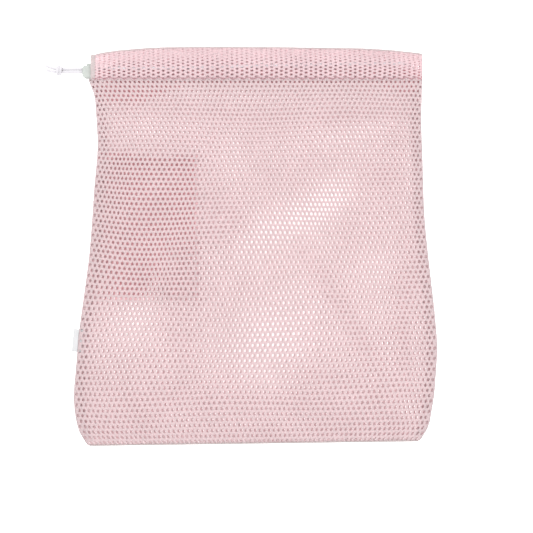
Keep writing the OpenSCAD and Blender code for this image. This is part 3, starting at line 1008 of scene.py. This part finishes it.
def place_allowance(side):
    """Place function of a side seam's allowance: two layers, folded two cells in from the seam, whose holes
    lie under the front panel's. side is 0 at the left and 1 at the right."""

    def place(u, v):
        inward = ALLOWANCE_CELLS / 2 - np.abs(u - ALLOWANCE_CELLS / 2)
        points = place_body(mix(inward, COLUMNS - inward, side), v)
        upper = smooth((u / ALLOWANCE_CELLS - 0.44) / 0.12)
        points[:, 2] = mix(*ALLOWANCE_Z, upper)
        return points

    return place


def seam_edge(name, edge, sign, bottom_y):
    """The outer edge of a side seam, where the cloth is folded over it, in a grey that is painted shade.
    sign is the way inward along X.
    """
    y = np.linspace(bottom_y + CORNER_W, CASING_Y, 60)
    line = points_of(edge(y) + sign * 0.3 * MM, y, np.full_like(y, SEAM_EDGE_Z))
    piece = tube(name, along_path(line, 2.5 * MM), SEAM_EDGE_R, SHADED_EDGE_YARN)
    gather(piece, "mesh")
    return piece


def bottom_fold():
    """The bottom fold, which is pressed into a firm edge, in a grey that is painted shade along the fold.
    """
    x = np.linspace(left_x(BOTTOM_LEFT_Y) + CORNER_W, right_x(BOTTOM_RIGHT_Y) - CORNER_W, 80)
    y = np.interp(x, (x[0], x[-1]), (BOTTOM_LEFT_Y, BOTTOM_RIGHT_Y)) + 0.1 * MM
    line = points_of(x, y, np.full_like(x, BOTTOM_EDGE_Z))
    piece = tube("bottom_fold_edge", line, BOTTOM_EDGE_R, SHADED_EDGE_YARN)
    gather(piece, "mesh")
    return piece


seam_left = net("side_allowance_left", place_allowance(0), ALLOWANCE_CELLS, ALLOWANCE_ROWS, CASING,
                seed=8)
seam_right = net("side_allowance_right", place_allowance(1), ALLOWANCE_CELLS, ALLOWANCE_ROWS, CASING,
                 seed=9)
edge_left = seam_edge("seam_edge_left", left_x, 1, BOTTOM_LEFT_Y)
edge_right = seam_edge("seam_edge_right", right_x, -1, BOTTOM_RIGHT_Y)
bottom_edge = bottom_fold()
gather(seam_left, "mesh", "side_seam_left")
gather(seam_right, "mesh", "side_seam_right")


# --- Pocket ---

POCKET_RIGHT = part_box("pocket_panel")[1].x
POCKET_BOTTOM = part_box("pocket_panel")[0].y
POCKET_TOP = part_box("pocket_panel")[1].y
POCKET_COLUMNS = 24
# In millimetres: how far the panel hangs below the front at its seams and inside them, and how far its net
# sags towards the bottom at the middle and at its right end
SEAM_GAP = 0.9
POCKET_GAP = 4.2
POCKET_SAG = 4.6
POCKET_SAG_RIGHT_END = 2.2

# The body's even rows next to the panel's bottom and top
body_rows = np.arange(0, ROWS, 2)
body_row_y = place_body(np.full(len(body_rows), POCKET_COLUMNS / 2), body_rows)[:, 1]
POCKET_FIRST = int(body_rows[np.abs(body_row_y - POCKET_BOTTOM).argmin()])
POCKET_ROWS = int(body_rows[np.abs(body_row_y - POCKET_TOP).argmin()]) - POCKET_FIRST


def place_pocket(u, v):
    """The pocket's panel. Its rows start under the front's at the side seam. It hangs a little below the
    front, and meets it at its seams."""
    across = u / POCKET_COLUMNS
    y = place_body(u, v + POCKET_FIRST)[:, 1]
    sag = POCKET_SAG * smooth((across - 0.1) / 0.45)
    sag = sag - (POCKET_SAG - POCKET_SAG_RIGHT_END) * smooth((across - 0.6) / 0.4)
    y = y - sag * MM * (v / POCKET_ROWS)
    x = mix(left_x(y), POCKET_RIGHT, across)
    from_side = x - left_x(y)
    above = front_z(x, y, BOTTOM_LEFT_Y)
    from_seam = np.minimum(POCKET_RIGHT - x, y - POCKET_BOTTOM)
    deep = smooth((from_seam - 1 * MM) / (7 * MM)) * smooth((from_side - 8 * MM) / (26 * MM))
    gap = mix(SEAM_GAP, POCKET_GAP, deep)
    return points_of(x, y, above - gap * MM)


def place_pocket_hem(u, v):
    """The hem is the panel's top edge folded down behind it."""
    points = place_pocket(u + 0.45, POCKET_ROWS - 1.35 - v)
    points[:, 2] -= 0.8 * MM
    return points


# The pocket takes the deeper pink yarn, which is painted shade
pocket_net = net("pocket_net", place_pocket, POCKET_COLUMNS, (0, POCKET_ROWS), PAINTED_SHADE_YARN, seed=10)
pocket_hem = net("pocket_hem_net", place_pocket_hem, POCKET_COLUMNS - 1, (0, 2), PAINTED_SHADE_YARN, seed=11)
gather(pocket_net, "mesh", "pocket_panel")
gather(pocket_hem, "mesh", "pocket_hem")


# --- Threads ---

# Share of its pitch that a stitch takes up
STITCH_SHARE = 0.82
# The overlock loops from the top of the allowance, round its raw edges and back
OVERLOCK_LOOPS = 116
OVERLOCK_R = 0.2 * MM
OVERLOCK_INWARD = (8.8 * MM, 12.3 * MM)
OVERLOCK_Z = (2.75 * MM, 1.6 * MM)
# Depth of the scallops in the casing's seam
SCALLOP = 2.6 * MM


def seam_thread(name, line, node, pitch=2.6 * MM, radius=0.26 * MM, material=PALE_THREAD):
    """Stitches along a seam, which stand for a CAD thread."""
    piece = stitches(name, line, pitch, STITCH_SHARE, radius, material)
    gather(piece, "thread", node)


def overlock(name, edge, sign, node):
    """Thread that binds the raw edges of a side seam, looping over them. sign is the way inward along X."""
    y = np.linspace(BOTTOM_LEFT_Y + 12 * MM, CASING_Y - 3 * MM, OVERLOCK_LOOPS * 2)
    on_cloth = np.arange(len(y)) % 2 == 0
    inward = np.where(on_cloth, *OVERLOCK_INWARD)
    z = np.where(on_cloth, *OVERLOCK_Z)
    path = along_path(points_of(edge(y) + sign * inward, y, z), 1.1 * MM)
    gather(tube(name, path, OVERLOCK_R, PALE_THREAD, sides=6), "thread", node)


overlock("overlock_thread_left", left_x, 1, "side_stitch_left")
overlock("overlock_thread_right", right_x, -1, "side_stitch_right")


def casing_seam_line(z):
    """The casing's seam at that height, scalloped by the holes that it goes round. On the front, its dark
    thread paints the shadow under the casing's edge.
    """
    x = np.linspace(CASING_LEFT + 2 * MM, CASING_RIGHT - 2 * MM, 400)
    scallop = SCALLOP * np.abs(np.sin(np.pi * (x - CASING_START) / (2 * CASING_PITCH_X)))
    return points_of(x, CASING_Y + 0.2 * MM + scallop, np.full_like(x, z))


def pocket_seam_line():
    """Down the pocket's right side and along its bottom, just above the front net."""
    up = np.linspace(POCKET_ROWS, 0.3, 40)
    across = np.linspace(POCKET_COLUMNS, 0, 40)[1:]
    side = place_pocket(np.full_like(up, POCKET_COLUMNS - 0.4), up)
    bottom = place_pocket(across, np.full_like(across, 0.3))
    line = np.concatenate([side, bottom])
    line[:, 2] += 1.25 * MM
    return line


# The front seam's thick dark thread is partly thread and partly painted shadow under the casing's edge
seam_thread("casing_seam_thread", casing_seam_line(OUTER_Z - 0.9 * MM), "casing_stitch_front",
            pitch=1.4 * MM, radius=0.42 * MM, material=SEAM_SHADOW_THREAD)
seam_thread("casing_seam_thread_back", casing_seam_line(2 * MIDDLE_Z - INNER_Z + 0.7 * MM),
            "casing_stitch_back", material=SEAM_SHADOW_THREAD)
seam_thread("pocket_seam_thread", pocket_seam_line(), "pocket_stitch", radius=0.18 * MM)


# --- Label: a folded tape in the left seam ---

LABEL_Y = -112.5 * MM
LABEL_W = 27.5 * MM
# How far it stands out of the seam, and how far its two ends are sewn in
LABEL_REACH = 6.9 * MM
LABEL_SEWN = 5 * MM
# Heights of its lower and upper layer, how far each bows away from the other, and how far it droops
LABEL_Z = (1.35 * MM, 1.75 * MM)
LABEL_BOW = 0.12 * MM
LABEL_DROOP = 0.35 * MM
edge_step = left_x(LABEL_Y + LABEL_W / 2) - left_x(LABEL_Y - LABEL_W / 2)
LABEL_TILT = math.atan2(float(edge_step), LABEL_W)
LABEL_CENTRE = (float(left_x(LABEL_Y)), LABEL_Y)


def place_label(u, v):
    """u runs from one sewn end over the fold to the other; v runs along the seam."""
    out = LABEL_REACH - np.abs(u - 0.5) * 2 * (LABEL_REACH + LABEL_SEWN)
    upper = smooth((u - 0.46) / 0.08)
    parted = smooth(out / (3 * MM)) * smooth((LABEL_REACH - out) / (1.5 * MM))
    z = mix(*LABEL_Z, upper) + np.where(u > 0.5, 1, -1) * LABEL_BOW * parted
    droop = -LABEL_DROOP * smooth(out / LABEL_REACH) + 0.15 * MM * np.sin(v * 7)
    along = (v - 0.5) * LABEL_W
    x = LABEL_CENTRE[0] - out * math.cos(LABEL_TILT) + along * math.sin(LABEL_TILT)
    y = LABEL_CENTRE[1] + out * math.sin(LABEL_TILT) + along * math.cos(LABEL_TILT)
    return points_of(x, y, z + droop * (out > 0))


label = strip("label_tape", place_label, (0, 1), (0, 1), 0.13 * MM, SATIN, (60, 22))
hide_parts("label")
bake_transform(label)


# --- Floor and light ---

FLOOR_REACH = 3
WHITE = (1, 1, 1, 1)

floor_corners = [(x * FLOOR_REACH, y * FLOOR_REACH, 0) for x, y in ((-1, -1), (1, -1), (1, 1), (-1, 1))]
floor_mesh = bpy.data.meshes.new("floor")
floor_mesh.from_pydata(floor_corners, [], [(0, 1, 2, 3)])
floor = bpy.data.objects.new("floor", floor_mesh)
SCENE.collection.objects.link(floor)
paper, paper_output = new_material("paper")
paper_shader = add(paper, "BsdfPrincipled", Base_Color=(0.93, 0.93, 0.93, 1), Roughness=0.9,
                   Emission_Color=WHITE, Emission_Strength=0.8)
link(paper, paper_shader.outputs[0], paper_output.inputs[0])
floor_mesh.materials.append(paper)


def area_light(name, size, power, place):
    """Round soft light that faces the bag."""
    data = bpy.data.lights.new(name, "AREA")
    data.shape = "DISK"
    data.size = size
    data.energy = power
    light = bpy.data.objects.new(name, data)
    light.location = place
    light.rotation_euler = (-Vector(place)).to_track_quat("-Z", "Y").to_euler()
    SCENE.collection.objects.link(light)


area_light("key", 1.6, 38, (-0.9, 1.2, 2.2))
area_light("fill", 2.0, 25, (1.3, -0.9, 2.0))

world = bpy.data.worlds.new("studio")
world.use_nodes = True
sky = world.node_tree.nodes["Background"]
sky.inputs["Color"].default_value = WHITE
sky.inputs["Strength"].default_value = 0.95
SCENE.world = world
SCENE.view_settings.view_transform = "Standard"
